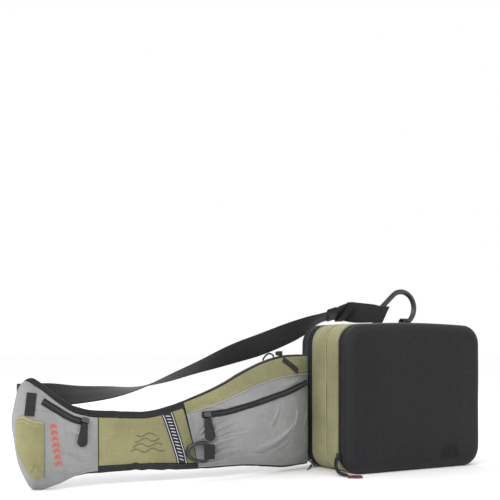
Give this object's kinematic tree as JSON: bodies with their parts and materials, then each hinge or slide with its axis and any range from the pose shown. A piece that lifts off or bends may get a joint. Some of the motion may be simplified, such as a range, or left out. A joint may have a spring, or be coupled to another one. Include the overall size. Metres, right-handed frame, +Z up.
{
  "type": "sling bag",
  "caption": "Sling bag with a moulded two-shell case in a fabric gusset, a padded wing with zipped pockets, and a webbing strap that ends in a carabiner.",
  "frame": {"origin": "under the middle of the whole bag's box, on the surface that it stands on", "axes": "+Z up, +X from the wing's end towards the case, -Y the way the case's front face and the wing's pockets look"},
  "size_m": [0.8152, 0.2136, 0.3216],
  "materials": {
    "foam": "fine woven face on moulded foam, matt black",
    "tape": "black zip tape with its coil",
    "webbing": "black woven webbing",
    "olive": "coarse matt weave, khaki olive",
    "grey": "soft matt weave, light grey",
    "mesh": "black air mesh over padding",
    "rubber": "matt black moulded rubber",
    "red_rubber": "matt dark red moulded rubber",
    "metal": "bright plated steel"
  },
  "bodies": {
    "bag": {"front_shell": "foam", "front_zip_band": "tape", "gusset": "olive", "rear_zip_band": "tape", "rear_shell": "foam", "wing_pad": "mesh", "wing_binding": "webbing", "big_pocket": "grey", "pocket_yoke": "olive", "big_zip": "tape", "end_pocket": "grey", "end_patch": "olive", "end_zip": "tape", "end_tab": "webbing", "big_zip_slider": "metal", "big_zip_pull": "rubber", "end_zip_slider": "metal", "end_zip_pull": "rubber", "mid_panel": "olive", "woven_tape": "webbing", "d_ring": "metal", "d_ring_tab": "webbing", "top_zip_slider": "metal", "top_zip_loop": "webbing", "top_zip_pull": "webbing", "front_zip_slider": "metal", "rear_zip_slider": "metal", "front_zip_pull": "webbing", "rear_zip_pull": "webbing", "front_zip_grip": "red_rubber", "carabiner": "metal", "anchor_loop": "webbing", "strap": "webbing"},
    "gate": {"carabiner_gate": "metal"}
  },
  "joints": [
    {"name": "gate_hinge", "type": "hinge", "parent": "bag", "child": "gate", "pos_m": [0.31052, 0.07985, 0.25011], "axis": [0, -1, 0], "range_deg": [0, 25], "stiffness_Nm_per_rad": 0.2, "springref_deg": -11.46}
  ]
}
